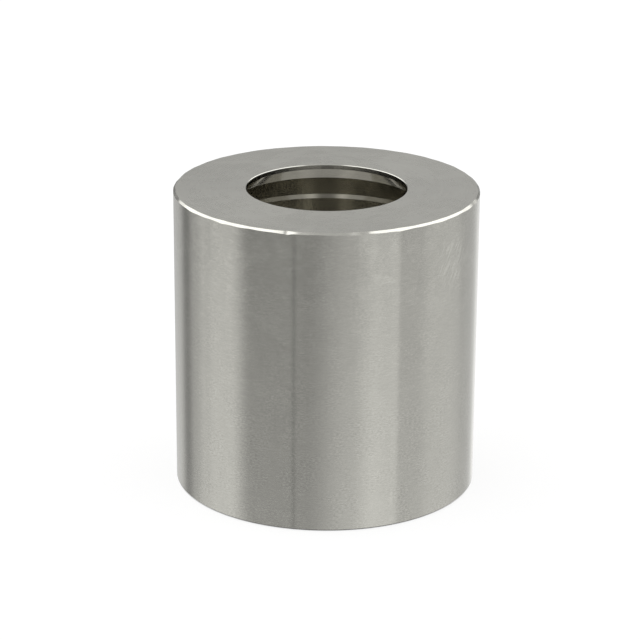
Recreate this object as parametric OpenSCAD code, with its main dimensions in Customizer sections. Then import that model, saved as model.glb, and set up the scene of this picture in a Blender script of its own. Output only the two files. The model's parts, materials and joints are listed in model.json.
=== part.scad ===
// Mounting sleeve, turned in one piece from round steel bar.
// A bore runs up from the lower end to a thin end wall, which ends in a lip with a slanted underside.
// The origin is the centre of the lower end face, and +Z runs up the axis of the bore.

/* [Body] */
// Outside diameter
body_d = 30; // [26:0.5:60]
// Length from end face to end face
body_l = 30; // [12:0.5:120]
// Width of the 45 degree edge break round the upper end
top_break = 0.2; // [0.1:0.05:0.8]
// Width of the 45 degree edge break round the lower end
foot_break = 0.1; // [0.05:0.05:0.8]

/* [Bore] */
// Diameter of the bore, which is open at the lower end
bore_d = 22; // [20:0.5:23]
// Width of the 45 degree edge break at the mouth of the bore and at the opening in the end wall
mouth_break = 0.1; // [0.05:0.05:0.3]

/* [End wall] */
// Thickness of the end wall
end_wall_l = 1.7; // [1.5:0.05:2]
// Diameter of the opening in the end wall
lip_d = 15.7; // [10:0.1:16]
// Length of the straight land inside the opening
lip_l = 0.45; // [0.4:0.05:1]
// Angle between the slanted underside of the lip and the axis of the bore
flank_angle = 45; // [30:1:50]

/* [Relief] */
// Depth of the relief that is cut into the bore wall under the end wall
relief_depth = 0.35; // [0.2:0.05:0.6]
// Length of the straight wall of the relief
relief_l = 2.4; // [1:0.1:5]

/* [Hidden] */

// Colour of the turned steel
steel = [0.67, 0.67, 0.64];
// Facets round one full turn
turn_facets = 192;

body_r = body_d / 2;
bore_r = bore_d / 2;
lip_r = lip_d / 2;
relief_r = bore_r + relief_depth;
flank_r = lip_r + (end_wall_l - lip_l) * tan(flank_angle);

// Heights above the lower end face: end of the land, underside of the end wall, and the relief's lower slant
land_z = body_l - lip_l;
underside_z = body_l - end_wall_l;
slant_z = underside_z - relief_l;
bore_z = slant_z - relief_depth;

// Outside of the half section, from the lower end face to the upper one
function outside_edge() = [
    [body_r - foot_break, 0],
    [body_r, foot_break],
    [body_r, body_l - top_break],
    [body_r - top_break, body_l],
];

// Bore side of the half section, from the opening in the end wall down to the lower mouth
function bore_edge() = [
    [lip_r + mouth_break, body_l],
    [lip_r, body_l - mouth_break],
    [lip_r, land_z],
    [flank_r, underside_z],
    [relief_r, underside_z],
    [relief_r, slant_z],
    [bore_r, bore_z],
    [bore_r, mouth_break],
    [bore_r + mouth_break, 0],
];

// The whole sleeve is one half section turned about the axis
module sleeve() {
    color(steel)
        rotate_extrude($fn = turn_facets)
            polygon(concat(outside_edge(), bore_edge()));
}

sleeve();
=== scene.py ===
"""Turned steel mounting sleeve, standing on a pale floor in a soft studio."""

import json
import math

import bmesh
import bpy
from mathutils import Matrix, Vector


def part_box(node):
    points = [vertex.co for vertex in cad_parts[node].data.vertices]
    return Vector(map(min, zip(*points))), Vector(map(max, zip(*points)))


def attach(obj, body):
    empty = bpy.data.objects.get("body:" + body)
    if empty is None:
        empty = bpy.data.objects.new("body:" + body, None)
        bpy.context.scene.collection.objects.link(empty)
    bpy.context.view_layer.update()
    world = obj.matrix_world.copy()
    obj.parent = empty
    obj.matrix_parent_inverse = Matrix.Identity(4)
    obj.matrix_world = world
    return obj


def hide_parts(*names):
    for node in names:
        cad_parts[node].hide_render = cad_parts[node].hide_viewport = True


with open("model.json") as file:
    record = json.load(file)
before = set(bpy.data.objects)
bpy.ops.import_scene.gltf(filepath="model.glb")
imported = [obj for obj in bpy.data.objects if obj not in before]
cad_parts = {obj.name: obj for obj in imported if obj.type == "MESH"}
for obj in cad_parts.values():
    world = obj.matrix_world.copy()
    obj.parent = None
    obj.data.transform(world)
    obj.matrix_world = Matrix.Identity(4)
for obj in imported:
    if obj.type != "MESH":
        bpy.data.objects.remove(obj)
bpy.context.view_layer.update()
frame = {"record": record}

# Sizes of the sleeve in metres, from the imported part
MM = 0.001
sleeve_low, sleeve_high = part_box("sleeve")
bore_mount = next(m for m in frame["record"]["mounts"] if m["name"] == "bore")
BODY_R = (sleeve_high[0] - sleeve_low[0]) / 2
BODY_L = sleeve_high[2] - sleeve_low[2]
BORE_R = bore_mount["dims"]["r_mm"] * MM

# Edge breaks, end wall with its lip, and relief, as in the part's source
TOP_BREAK = 0.2 * MM
FOOT_BREAK = 0.1 * MM
MOUTH_BREAK = 0.1 * MM
LIP_R = 7.85 * MM
LIP_L = 0.45 * MM
END_WALL_L = 1.7 * MM
FLANK_ANGLE = math.radians(45)
RELIEF_DEPTH = 0.35 * MM
RELIEF_L = 2.4 * MM
# The land of the lip is worn: it opens a little towards the mouth, below a narrow edge
LAND_EDGE = 0.055 * MM
LAND_TAPER = 0.053 * MM
LAND_Z = BODY_L - LIP_L
UNDERSIDE_Z = BODY_L - END_WALL_L
FLANK_R = LIP_R + (END_WALL_L - LIP_L) * math.tan(FLANK_ANGLE)
RELIEF_R = BORE_R + RELIEF_DEPTH
SLANT_Z = UNDERSIDE_Z - RELIEF_L
BORE_Z = SLANT_Z - RELIEF_DEPTH

# Nicks in the rim: azimuth in degrees, half width in degrees, and how much wider the edge break is there
NICKS = [(-14, 1.3, 0.06 * MM), (12, 3, 0.03 * MM), (27, 2, 0.04 * MM), (-41, 2, 0.04 * MM)]
# The rim's line waves a little: waves per turn and share of the edge break
RIM_WAVES = [(17, 0.10), (41, 0.08)]
# Corners this near to the outside and the upper face belong to the rim
RIM_REACH = 1.5 * TOP_BREAK

# Facets round one full turn
TURN_STEPS = 480
HALF_TURN = 0.5
# Corners closer than this are one, in metres
MERGE_GAP = 1e-6
# Corners sharper than this stay crisp
CRISP_ANGLE = math.radians(20)
# The map that runs along the half section one way and round the axis the other
TURNED_MAP = "OFBake"


def half_section():
    """Corners of the half section as (radius, height, finish of the stretch that starts there)."""
    return [
        (BODY_R - FOOT_BREAK, 0, "edge"),
        (BODY_R, FOOT_BREAK, "outside"),
        (BODY_R, BODY_L - TOP_BREAK, "edge"),
        (BODY_R - TOP_BREAK, BODY_L, "end"),
        (LIP_R + MOUTH_BREAK, BODY_L, "edge"),
        (LIP_R + MOUTH_BREAK - LAND_EDGE, BODY_L - LAND_EDGE, "lip"),
        (LIP_R + MOUTH_BREAK - LAND_EDGE - LAND_TAPER, LAND_Z, "lip"),
        (FLANK_R, UNDERSIDE_Z, "lip"),
        (RELIEF_R, UNDERSIDE_Z, "bore"),
        (RELIEF_R, SLANT_Z, "lip"),
        (BORE_R, BORE_Z, "bore"),
        (BORE_R, MOUTH_BREAK, "edge"),
        (BORE_R + MOUTH_BREAK, 0, "end"),
    ]


def map_band(faces, uv_layer, start, end, start_u, end_u):
    """Lays one turned band into the map, with u along the section and v round the axis."""
    for face in faces:
        turns = [math.atan2(loop.vert.co.y, loop.vert.co.x) / math.tau % 1 for loop in face.loops]
        across_seam = max(turns) - min(turns) > HALF_TURN
        for loop, turn in zip(face.loops, turns):
            here = Vector((loop.vert.co.xy.length, loop.vert.co.z))
            u = start_u if (here - start).length < (here - end).length else end_u
            loop[uv_layer].uv = (u, turn + 1 if across_seam and turn < HALF_TURN else turn)


def rim_wear(x, y):
    """How much wider the rim's edge break is at a place round the axis."""
    azimuth = math.degrees(math.atan2(x, -y))
    wear = sum(TOP_BREAK * share * math.sin(math.radians(waves * azimuth)) for waves, share in RIM_WAVES)
    for centre, half_width, depth in NICKS:
        wear += depth * max(0, 1 - abs(azimuth - centre) / half_width)
    return wear


def wear_rim(bm):
    """Moves both corners of the rim's edge break along their faces, so the break widens at the nicks."""
    for vert in bm.verts:
        radius = vert.co.xy.length
        if radius < BODY_R - RIM_REACH or vert.co.z < BODY_L - RIM_REACH:
            continue
        wear = rim_wear(vert.co.x, vert.co.y)
        if vert.co.z > BODY_L - TOP_BREAK / 2:
            vert.co.xy *= 1 - wear / radius
        else:
            vert.co.z -= wear


def turn_sleeve(finishes):
    """Spins each stretch of the half section about the axis and gives its band a finish."""
    corners = half_section()
    points = [Vector((r, z)) for r, z, _ in corners]
    ends = points[1:] + points[:1]
    total = sum((b - a).length for a, b in zip(points, ends))
    bm = bmesh.new()
    uv_layer = bm.loops.layers.uv.new(TURNED_MAP)
    run = 0
    for (_, _, finish), start, end in zip(corners, points, ends):
        pair = [bm.verts.new((p.x, 0, p.y)) for p in (start, end)]
        edge = bm.edges.new(pair)
        before = set(bm.faces)
        bmesh.ops.spin(
            bm, geom=pair + [edge], cent=(0, 0, 0), axis=(0, 0, 1),
            angle=math.tau, steps=TURN_STEPS, use_merge=True,
        )
        band = [face for face in bm.faces if face not in before]
        reach = run + (end - start).length
        map_band(band, uv_layer, start, end, run / total, reach / total)
        run = reach
        for face in band:
            face.material_index = list(finishes).index(finish)
            face.smooth = True
    bmesh.ops.remove_doubles(bm, verts=bm.verts, dist=MERGE_GAP)
    bmesh.ops.recalc_face_normals(bm, faces=bm.faces)
    wear_rim(bm)
    mesh = bpy.data.meshes.new("turned_sleeve")
    bm.to_mesh(mesh)
    bm.free()
    mesh.set_sharp_from_angle(angle=CRISP_ANGLE)
    for material in finishes.values():
        mesh.materials.append(material)
    sleeve = bpy.data.objects.new("turned_sleeve", mesh)
    bpy.context.collection.objects.link(sleeve)
    return sleeve


def add_node(tree, kind, **settings):
    """A new shader node with its settings and the values of its unlinked inputs."""
    node = tree.nodes.new(kind)
    for name, value in settings.items():
        if name == "values":
            for socket, number in value.items():
                node.inputs[socket].default_value = number
        else:
            setattr(node, name, value)
    return node


def feed(tree, socket, value):
    """Gives an input either a link from another socket or a plain number."""
    if isinstance(value, bpy.types.NodeSocket):
        tree.links.new(value, socket)
    else:
        socket.default_value = value


def math_node(tree, operation, first, second=None, third=None):
    """A Math node on sockets or plain numbers, and its output."""
    node = add_node(tree, "ShaderNodeMath", operation=operation)
    for place, value in enumerate((first, second, third)):
        if value is not None:
            feed(tree, node.inputs[place], value)
    return node.outputs[0]


def product(tree, first, second):
    """Product of two sockets or numbers."""
    return math_node(tree, "MULTIPLY", first, second)


def length_of(tree, x, y):
    """Length of a flat vector given by two sockets."""
    return math_node(tree, "SQRT", math_node(tree, "MULTIPLY_ADD", x, x, product(tree, y, y)))


def ramp_between(tree, value, low, high, to_low, to_high, smooth=True):
    """Maps value from low..high to to_low..to_high, held at both ends."""
    node = add_node(tree, "ShaderNodeMapRange", clamp=True)
    node.interpolation_type = "SMOOTHSTEP" if smooth else "LINEAR"
    for socket, number in zip(("From Min", "From Max", "To Min", "To Max"), (low, high, to_low, to_high)):
        node.inputs[socket].default_value = number
    tree.links.new(value, node.inputs["Value"])
    return node.outputs["Result"]


# Share of each finer layer in the fine noises
NOISE_ROUGHNESS = 0.6


def noise_at(tree, x, y, z, detail):
    """A noise of unit scale at a place given by three sockets or numbers."""
    place = tree.nodes.new("ShaderNodeCombineXYZ")
    for socket, value in zip(place.inputs, (x, y, z)):
        feed(tree, socket, value)
    values = {"Scale": 1.0, "Detail": detail, "Roughness": NOISE_ROUGHNESS}
    noise = add_node(tree, "ShaderNodeTexNoise", values=values)
    tree.links.new(place.outputs[0], noise.inputs["Vector"])
    return noise.outputs[0]


def cloud_noise(tree, position, values):
    """A noise in space with the node's own values."""
    noise = add_node(tree, "ShaderNodeTexNoise", values=values)
    tree.links.new(position, noise.inputs["Vector"])
    return noise.outputs[0]


def mark_group(name, inputs, outputs):
    """An empty group of surface marks, with its input and output nodes."""
    group = bpy.data.node_groups.new(name, "ShaderNodeTree")
    for socket, kind in inputs:
        group.interface.new_socket(socket, in_out="INPUT", socket_type=kind)
    for socket in outputs:
        group.interface.new_socket(socket, in_out="OUTPUT", socket_type="NodeSocketFloat")
    return group, group.nodes.new("NodeGroupInput"), group.nodes.new("NodeGroupOutput")


def split_position(group, given):
    """The three coordinates of a group's position."""
    split = group.nodes.new("ShaderNodeSeparateXYZ")
    group.links.new(given.outputs["Position"], split.inputs[0])
    return split.outputs


# The lines follow the height on walls and the radius on faces, so the height plus this share of the radius
# serves both
RADIUS_SHARE = 0.6
LINE_DETAIL = 3.0
LINE_EDGE = (0.3, 0.7)
# Bright dashes: their lines to one turning line, the place of their own noise, and the edge of a dash in it
DASH_SCALE = 1.4
DASH_PLACE = 50.0
DASH_DETAIL = 1.0
DASH_EDGE = (0.62, 0.74)
CLOUD_NOISE = {"Scale": 230.0, "Detail": 7.0, "Roughness": 0.62, "Distortion": 0.9}
CLOUD_EDGE = (0.36, 0.64)


def turning_marks():
    """Fine lines that a tool leaves round the axis, and the broad cloud of a handled surface."""
    floats = [("Lines per mm", "NodeSocketFloat"), ("Breaks per turn", "NodeSocketFloat")]
    group, given, result = mark_group(
        "turning_marks", [("Position", "NodeSocketVector")] + floats, ["Line", "Dash", "Cloud"])
    link = group.links.new
    x, y, z = split_position(group, given)
    radius = length_of(group, x, y)
    breaks = math_node(group, "DIVIDE", given.outputs["Breaks per turn"], math.tau)
    spread = math_node(group, "DIVIDE", breaks, radius)
    turn_x, turn_y = product(group, x, spread), product(group, y, spread)
    along = math_node(group, "MULTIPLY_ADD", radius, RADIUS_SHARE, z)
    lines = product(group, math_node(group, "DIVIDE", along, MM), given.outputs["Lines per mm"])
    line = noise_at(group, turn_x, turn_y, lines, LINE_DETAIL)
    link(ramp_between(group, line, *LINE_EDGE, 0, 1, smooth=False), result.inputs["Line"])
    dash_lines = math_node(group, "MULTIPLY_ADD", lines, DASH_SCALE, DASH_PLACE)
    dash = noise_at(group, turn_x, turn_y, dash_lines, DASH_DETAIL)
    link(ramp_between(group, dash, *DASH_EDGE, 0, 1), result.inputs["Dash"])
    cloud = cloud_noise(group, given.outputs["Position"], CLOUD_NOISE)
    link(ramp_between(group, cloud, *CLOUD_EDGE, 0, 1), result.inputs["Cloud"])
    return group


# Patch of slanting scratches on the outside: azimuth, height and half size in mm, and slant of the lines
SCRATCH_AZIMUTH = math.radians(53)
SCRATCH_HEIGHT = 25.6
SCRATCH_SIZE = 3.0
SCRATCH_SLANT = math.radians(35)
# Scratches per mm across and along them, the place of their own noise, and the edge of a scratch in it
SCRATCH_SCALE = (4.4, 0.5)
SCRATCH_PLACE = 3.0
SCRATCH_DETAIL = 2.0
SCRATCH_EDGE = (0.5, 0.6)
# Faint streaks that run down from the rim over a length in mm: streaks per mm round the axis and along it
STREAK_L = 18.0
STREAK_SCALE = (0.8, 0.06)
STREAK_PLACE = 7.0
STREAK_DETAIL = 3.0
STREAK_EDGE = (0.5, 0.72)
# Smears below the rim, over a length in mm
SMEAR_L = 13.0
SMEAR_NOISE = {"Scale": 420.0, "Detail": 6.0, "Roughness": 0.58, "Distortion": 1.6}
SMEAR_EDGE = (0.5, 0.58)
# Fine grain of the steel: grains per mm round the axis and along it, and patches per mm where it gathers
GRAIN_SCALE = (3.5, 9.0)
GRAIN_PATCHES = (0.45, 0.25)
GRAIN_PLACE = 11.0
GRAIN_DETAIL = 1.0
GRAIN_EDGE = (0.35, 0.65)
PATCH_EDGE = (0.4, 0.62)
# Share of the grain that is left between the patches, and towards the rim between two heights in mm
PATCH_SHARE = 0.35
GRAIN_HEIGHTS = (6.0, 20.0)
GRAIN_RIM_SHARE = 0.5


def wall_noise(group, across, along, scale, place, detail):
    """Noise on the unrolled outside, with a scale each way."""
    return noise_at(group, product(group, across, scale[0]), product(group, along, scale[1]), place, detail)


def scratch_mask(group, arc, height):
    """Slanting scratches that fade out round the middle of their patch."""
    rise = math_node(group, "SUBTRACT", height, SCRATCH_HEIGHT)
    sine, cosine = math.sin(SCRATCH_SLANT), math.cos(SCRATCH_SLANT)
    across = math_node(group, "MULTIPLY_ADD", arc, cosine, product(group, rise, -sine))
    along = math_node(group, "MULTIPLY_ADD", arc, sine, product(group, rise, cosine))
    lines = wall_noise(group, across, along, SCRATCH_SCALE, SCRATCH_PLACE, SCRATCH_DETAIL)
    patch = ramp_between(group, length_of(group, arc, rise), SCRATCH_SIZE / 2, SCRATCH_SIZE, 1, 0)
    return product(group, ramp_between(group, lines, *SCRATCH_EDGE, 0, 1), patch)


def streak_mask(group, arc, height):
    """Streaks that run down from the rim."""
    streak = wall_noise(group, arc, height, STREAK_SCALE, STREAK_PLACE, STREAK_DETAIL)
    drop = ramp_between(group, height, BODY_L / MM - STREAK_L, BODY_L / MM, 0, 1)
    return product(group, ramp_between(group, streak, *STREAK_EDGE, 0, 1), drop)


def smear_mask(group, position, height):
    """Smears below the rim."""
    smear = cloud_noise(group, position, SMEAR_NOISE)
    fade = ramp_between(group, height, BODY_L / MM - SMEAR_L, BODY_L / MM - SMEAR_L / 3, 0, 1)
    return product(group, ramp_between(group, smear, *SMEAR_EDGE, 0, 1), fade)


def grain_value(group, arc, height):
    """Grain about zero, gathered in patches and weaker towards the rim."""
    grains, patches = (
        wall_noise(group, arc, height, scale, GRAIN_PLACE, GRAIN_DETAIL)
        for scale in (GRAIN_SCALE, GRAIN_PATCHES)
    )
    pits = ramp_between(group, grains, *GRAIN_EDGE, -0.5, 0.5, smooth=False)
    gathered = ramp_between(group, patches, *PATCH_EDGE, PATCH_SHARE, 1)
    strength = ramp_between(group, height, *GRAIN_HEIGHTS, 1, GRAIN_RIM_SHARE)
    return product(group, pits, product(group, gathered, strength))


def handling_marks():
    """Marks of the outside: one patch of scratches, streaks and smears below the rim, and a fine grain."""
    group, given, result = mark_group(
        "handling_marks", [("Position", "NodeSocketVector")], ["Scratch", "Streak", "Smear", "Grain"])
    x, y, z = split_position(group, given)
    azimuth = math_node(group, "ARCTAN2", x, product(group, y, -1))
    arc = product(group, math_node(group, "SUBTRACT", azimuth, SCRATCH_AZIMUTH), BODY_R / MM)
    height = product(group, z, 1 / MM)
    marks = {
        "Scratch": scratch_mask(group, arc, height),
        "Streak": streak_mask(group, arc, height),
        "Smear": smear_mask(group, given.outputs["Position"], height),
        "Grain": grain_value(group, arc, height),
    }
    for name, mark in marks.items():
        group.links.new(mark, result.inputs[name])
    return group


def worn_shade(tree, position, look, handling):
    """How much the handling marks lighten or darken the steel."""
    worn = add_node(tree, "ShaderNodeGroup", node_tree=handling)
    tree.links.new(position, worn.inputs["Position"])
    fade = math_node(tree, "MULTIPLY_ADD", worn.outputs["Scratch"], look["scratch_shade"], 1.0)
    fade = math_node(tree, "MULTIPLY_ADD", worn.outputs["Streak"], -look["streak_shade"], fade)
    fade = math_node(tree, "MULTIPLY_ADD", worn.outputs["Smear"], look["smear_shade"], fade)
    return math_node(tree, "MULTIPLY_ADD", worn.outputs["Grain"], look["grain_shade"], fade)


def turned_steel(name, marks, look, handling=None):
    """Steel with tool marks round the axis, and handling marks if given. look holds the finish's values."""
    material = bpy.data.materials.new(name)
    material.use_nodes = True
    tree = material.node_tree
    steel = tree.nodes["Principled BSDF"]
    steel.inputs["Metallic"].default_value = 1.0
    steel.inputs["Anisotropic"].default_value = look["anisotropy"]
    link = tree.links.new

    place = tree.nodes.new("ShaderNodeTexCoord").outputs["Object"]
    cut = add_node(tree, "ShaderNodeGroup", node_tree=marks)
    cut.inputs["Lines per mm"].default_value = look["lines_per_mm"]
    cut.inputs["Breaks per turn"].default_value = look["breaks_per_turn"]
    link(place, cut.inputs["Position"])
    line, cloud = cut.outputs["Line"], cut.outputs["Cloud"]

    shade = math_node(tree, "MULTIPLY_ADD", line, look["line_shade"], 1 - look["line_shade"] / 2)
    shade = math_node(tree, "MULTIPLY_ADD", cut.outputs["Dash"], look["dash_shade"], shade)
    haze = math_node(tree, "MULTIPLY_ADD", cloud, look["cloud_shade"], 1 - look["cloud_shade"] / 2)
    shade = product(tree, shade, haze)
    if handling:
        shade = product(tree, shade, worn_shade(tree, place, look, handling))
    tone = add_node(tree, "ShaderNodeMix", data_type="RGBA", blend_type="MULTIPLY", values={"Factor": 1.0})
    tone.inputs["A"].default_value = (*look["colour"], 1)
    link(shade, tone.inputs["B"])
    link(tone.outputs["Result"], steel.inputs["Base Color"])

    rough = math_node(tree, "MULTIPLY_ADD", line, look["line_rough"], look["roughness"])
    rough = math_node(tree, "MULTIPLY_ADD", cloud, look["cloud_rough"], rough)
    link(rough, steel.inputs["Roughness"])

    bump = add_node(tree, "ShaderNodeBump", values={"Strength": 1.0, "Distance": look["line_depth"]})
    link(line, bump.inputs["Height"])
    link(bump.outputs["Normal"], steel.inputs["Normal"])
    lay = add_node(tree, "ShaderNodeTangent", direction_type="UV_MAP", uv_map=TURNED_MAP)
    link(lay.outputs["Tangent"], steel.inputs["Tangent"])
    return material


# Colour of the steel outside, and inside on the lip and the bore
STEEL = (0.563, 0.556, 0.51)
BORE_STEEL = (0.57, 0.557, 0.51)


def sleeve_finishes():
    """The finishes of the sleeve's surfaces, by the names that the half section uses."""
    marks = turning_marks()
    handling = handling_marks()
    plain = {
        "colour": STEEL, "roughness": 0.155, "anisotropy": 1.0, "lines_per_mm": 6.0, "breaks_per_turn": 100.0,
        "line_shade": 0.08, "dash_shade": 0.07, "cloud_shade": 0.05,
        "line_rough": 0.02, "cloud_rough": 0.015, "line_depth": 0.0001 * MM,
        "scratch_shade": 0.15, "streak_shade": 0.05, "smear_shade": 0.045, "grain_shade": 0.22,
    }
    inside = plain | {
        "colour": BORE_STEEL, "roughness": 0.105, "anisotropy": 0.8,
        "line_shade": 0.05, "dash_shade": 0.0,
        "line_rough": 0.015, "cloud_rough": 0.01, "line_depth": 0.0,
    }
    looks = {
        "outside": plain,
        "end": plain | {
            "roughness": 0.26, "anisotropy": 0.6, "breaks_per_turn": 30.0,
            "line_shade": 0.05, "dash_shade": 0.03, "cloud_shade": 0.07,
        },
        "lip": inside,
        "bore": inside | {"roughness": 0.065, "line_rough": 0.01, "cloud_rough": 0.005},
        "edge": plain | {"roughness": 0.2, "anisotropy": 0.5, "line_depth": 0.0002 * MM},
    }
    return {
        name: turned_steel(f"{name}_steel", marks, look, handling if name == "outside" else None)
        for name, look in looks.items()
    }


# Studio round the sleeve. Panels: azimuths of both edges in degrees, 0 towards the camera and positive to
# its right, softness of both edges, and lift over the room
ROOM_SHADE = 0.42
PANELS = [
    ("left softbox", -93, -77, 24, 20, 0.48),
    ("left bounce", -117, -106, 12, 5, 0.22),
    ("left flag", -133, -129, 8, 8, -0.10),
    ("front wall", -52, 28, 25, 25, 0.11),
    ("front seam", -24.8, -23.2, 0.8, 0.8, -0.14),
    ("right wall", 20, 170, 36, 20, 0.29),
    ("right softbox", 41, 56, 22, 1.5, 0.26),
    ("right bounce", 88, 108, 12, 14, 0.08),
    ("right flag", 128, 142, 8, 8, -0.09),
    ("right edge", 162, 178, 6, 10, 0.11),
    ("back wall", 162, 213, 14, 15, 0.29),
]
# Panels that only cover a band of elevations, given by where the band starts and where it ends in degrees
BAND_PANELS = [
    ("front flag", -60, 42, 15, 15, -0.17),
    ("right glow", 82, 150, 12, 15, 0.08),
]
BAND_START = (-21.5, -18)
BAND_END = (-9, -4)
# Two lights overhead: shade of the gap between them, their brightness, edges of the gap as sideways shares
# of a direction, shift of the gap to the right, and elevations in degrees at which the walls give way to them
OVERHEAD_SHADE = 0.65
OVERHEAD_LIGHT = 2.0
OVERHEAD_GAP = (0.27, 0.35)
OVERHEAD_SHIFT = 0.04
OVERHEAD_EDGE = (10, 22)
# The walls brighten by this share for each degree below this elevation, within these limits
WALL_FALL = 0.05
WALL_LEVEL = -20
WALL_LIMITS = (0.35, 1.07)


def panel_shade(tree, azimuth, panels, shade):
    """Brightness of a ring of upright panels at an azimuth, over a plain shade."""
    for _, first, last, first_soft, last_soft, lift in panels:
        half = (last - first) / 2
        offset = math_node(tree, "WRAP", math_node(tree, "SUBTRACT", azimuth, first + half), 180, -180)
        rising = ramp_between(tree, offset, -half - first_soft, -half, 0, 1)
        falling = ramp_between(tree, offset, half, half + last_soft, lift, 0)
        shade = math_node(tree, "MULTIPLY_ADD", rising, falling, shade)
    return shade


def wall_shade(tree, azimuth, elevation):
    """Brightness of the walls in a direction, with all their panels."""
    drop = math_node(tree, "MULTIPLY_ADD", elevation, -WALL_FALL, 1 + WALL_FALL * WALL_LEVEL)
    level = math_node(tree, "MINIMUM", math_node(tree, "MAXIMUM", drop, WALL_LIMITS[0]), WALL_LIMITS[1])
    walls = product(tree, panel_shade(tree, azimuth, PANELS, ROOM_SHADE), level)
    band_start = ramp_between(tree, elevation, *BAND_START, 0, 1)
    band = product(tree, band_start, ramp_between(tree, elevation, *BAND_END, 1, 0))
    return math_node(tree, "MULTIPLY_ADD", panel_shade(tree, azimuth, BAND_PANELS, 0.0), band, walls)


def light_studio():
    """A world with upright panels all round, and two broad lights overhead with a gap between them."""
    world = bpy.data.worlds.new("studio")
    bpy.context.scene.world = world
    world.use_nodes = True
    tree = world.node_tree
    link = tree.links.new
    split = tree.nodes.new("ShaderNodeSeparateXYZ")
    link(tree.nodes.new("ShaderNodeTexCoord").outputs["Generated"], split.inputs[0])
    x, y, z = split.outputs
    azimuth = math_node(tree, "DEGREES", math_node(tree, "ARCTAN2", x, product(tree, y, -1)))
    elevation = math_node(tree, "DEGREES", math_node(tree, "ARCSINE", z))
    sideways = math_node(tree, "ABSOLUTE", math_node(tree, "SUBTRACT", x, OVERHEAD_SHIFT))
    overhead = ramp_between(tree, sideways, *OVERHEAD_GAP, OVERHEAD_SHADE, OVERHEAD_LIGHT)
    studio = add_node(tree, "ShaderNodeMix", data_type="FLOAT")
    link(ramp_between(tree, elevation, *OVERHEAD_EDGE, 0, 1), studio.inputs["Factor"])
    link(wall_shade(tree, azimuth, elevation), studio.inputs["A"])
    link(overhead, studio.inputs["B"])
    link(studio.outputs["Result"], tree.nodes["Background"].inputs["Color"])


# The floor's radius in metres, and how far it and the patch that closes the bore lie below the sleeve's foot
FLOOR_SIZE = 3.0
FLOOR_DROP = 0.05 * MM
PATCH_DROP = 0.02 * MM
FLOOR_SEGMENTS = 64
FLOOR_SHADE = 0.92
# Share of the floor that the camera sees as plain white, which softens the shadow
FLOOR_WHITE = 0.8
# Floor in the bore: dark paint as painted shade, with a glow of painted light that is dimmer at its heart by
# radius and in front by depth, with a painted pool of light at each side
BORE_FLOOR_SHADE = 0.05
BORE_GLOW = 0.6
HEART_EDGE = (2.0 * MM, 4.5 * MM)
HEART_SHARE = 0.25
FRONT_EDGE = (-7.0 * MM, -3.5 * MM)
FRONT_SHARE = 0.05
POOL_LIFT = 2.4
POOL_SIDE = 4.5 * MM
POOL_DEPTH = -0.5 * MM
POOL_EDGE = (0.8 * MM, 2.8 * MM)


def matt_paint(name, shade):
    """Matt grey paint for the floor, and its shader node."""
    material = bpy.data.materials.new(name)
    material.use_nodes = True
    paint = material.node_tree.nodes["Principled BSDF"]
    paint.inputs["Base Color"].default_value = (shade,) * 3 + (1,)
    paint.inputs["Roughness"].default_value = 1.0
    paint.inputs["Specular IOR Level"].default_value = 0.0
    return material, paint


def floor_paint():
    """Pale paint that the camera sees lifted towards white."""
    material, paint = matt_paint("pale_floor", FLOOR_SHADE)
    tree = material.node_tree
    ray = tree.nodes.new("ShaderNodeLightPath")
    seen = math_node(tree, "MAXIMUM", ray.outputs["Is Camera Ray"], ray.outputs["Is Glossy Ray"])
    seen = math_node(tree, "MAXIMUM", seen, ray.outputs["Is Transmission Ray"])
    white = add_node(tree, "ShaderNodeEmission", values={"Color": (1, 1, 1, 1), "Strength": 1.0})
    mix = tree.nodes.new("ShaderNodeMixShader")
    tree.links.new(product(tree, seen, FLOOR_WHITE), mix.inputs[0])
    tree.links.new(paint.outputs[0], mix.inputs[1])
    tree.links.new(white.outputs[0], mix.inputs[2])
    tree.links.new(mix.outputs[0], tree.nodes["Material Output"].inputs["Surface"])
    return material


def painted_bore_light():
    """Dark paint of painted shade, with a glow of painted light that stands in for the light in the bore,
    brightest in a pool at each side.
    """
    material, paint = matt_paint("floor_painted_light", BORE_FLOOR_SHADE)
    tree = material.node_tree
    split = tree.nodes.new("ShaderNodeSeparateXYZ")
    tree.links.new(tree.nodes.new("ShaderNodeTexCoord").outputs["Object"], split.inputs[0])
    x, y, _ = split.outputs
    heart = ramp_between(tree, length_of(tree, x, y), *HEART_EDGE, HEART_SHARE, 1)
    front = ramp_between(tree, y, *FRONT_EDGE, FRONT_SHARE, 1)
    aside = math_node(tree, "SUBTRACT", math_node(tree, "ABSOLUTE", x), POOL_SIDE)
    depth = math_node(tree, "SUBTRACT", y, POOL_DEPTH)
    pool = ramp_between(tree, length_of(tree, aside, depth), *POOL_EDGE, POOL_LIFT, 0)
    glow = math_node(tree, "MULTIPLY_ADD", heart, front, pool)
    # Only the bore's walls show the painted pools of light, and the camera itself sees an even floor
    seen = tree.nodes.new("ShaderNodeLightPath").outputs["Is Camera Ray"]
    glow = math_node(tree, "MULTIPLY_ADD", seen, math_node(tree, "SUBTRACT", 1.0, glow), glow)
    # The emission is painted light, standing in for the light that falls into the bore
    paint.inputs["Emission Strength"].default_value = BORE_GLOW
    tree.links.new(glow, paint.inputs["Emission Color"])
    return material


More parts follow.
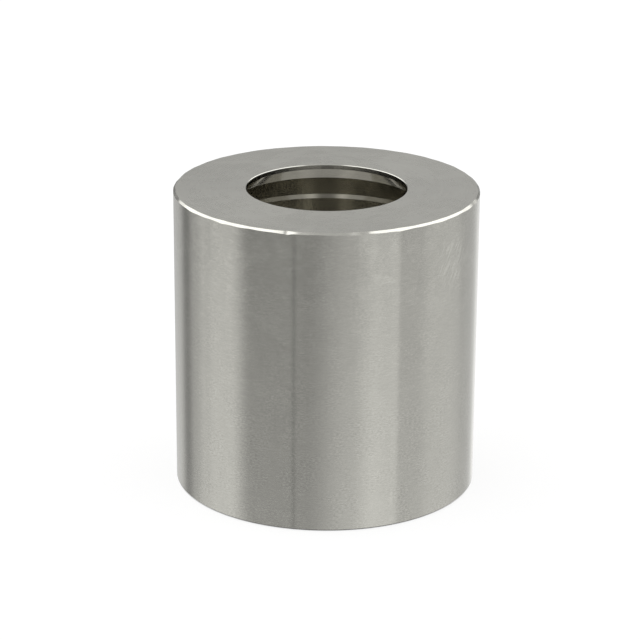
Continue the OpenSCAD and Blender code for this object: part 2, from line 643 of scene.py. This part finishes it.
def pale_floor():
    """A pale floor for the camera, and a patch of it under the sleeve that closes the bore, painted dark as
    shade and glowing with painted light.
    """
    grounds = [
        ("floor", FLOOR_SIZE, FLOOR_DROP, floor_paint()),
        ("floor_patch", BODY_R, PATCH_DROP, painted_bore_light()),
    ]
    for name, radius, drop, paint in grounds:
        bm = bmesh.new()
        bmesh.ops.create_circle(bm, cap_ends=True, segments=FLOOR_SEGMENTS, radius=radius)
        mesh = bpy.data.meshes.new(name)
        bm.to_mesh(mesh)
        bm.free()
        mesh.materials.append(paint)
        ground = bpy.data.objects.new(name, mesh)
        bpy.context.collection.objects.link(ground)
        # The outside's reflections show the studio's panels, so only the patch is seen in them
        ground.visible_glossy = name == "floor_patch"
        ground.location.z = -drop


# The photograph's view, with offsets and distance in metres and a 640 pixel frame
FRAME_PX = 640
FOCAL_PX = 2549.0
SENSOR_MM = 36.0
CAMERA_DISTANCE = 254.4 * MM
CAMERA_ELEVATION = math.radians(19.6)
CAMERA_ROLL = math.radians(0.353)
AIM_RIGHT = 0.571 * MM
AIM_UP = -1.123 * MM
CLIP_START = 0.01


def place_camera():
    """The photograph's view."""
    camera = bpy.data.cameras.new("view")
    camera.sensor_width = SENSOR_MM
    camera.lens = SENSOR_MM * FOCAL_PX / FRAME_PX
    camera.clip_start = CLIP_START
    viewer = bpy.data.objects.new("view", camera)
    bpy.context.collection.objects.link(viewer)
    back = Vector((0, -math.cos(CAMERA_ELEVATION), math.sin(CAMERA_ELEVATION)))
    right = Vector((1, 0, 0))
    up = back.cross(right)
    centre = Vector((0, 0, BODY_L / 2))
    spot = centre + back * CAMERA_DISTANCE - right * AIM_RIGHT - up * AIM_UP
    facing = Matrix((right, up, back)).transposed().to_4x4()
    viewer.matrix_world = Matrix.Translation(spot) @ facing @ Matrix.Rotation(CAMERA_ROLL, 4, "Z")
    bpy.context.scene.camera = viewer


# Bounces that light needs to find its way out of the bore
BORE_BOUNCES = 24


def set_render():
    """Plain colours, and enough bounces for the bore."""
    scene = bpy.context.scene
    scene.view_settings.view_transform = "Standard"
    scene.cycles.max_bounces = BORE_BOUNCES
    scene.cycles.glossy_bounces = BORE_BOUNCES


sleeve = turn_sleeve(sleeve_finishes())
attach(sleeve, "root")
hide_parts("sleeve")
pale_floor()
light_studio()
place_camera()
set_render()
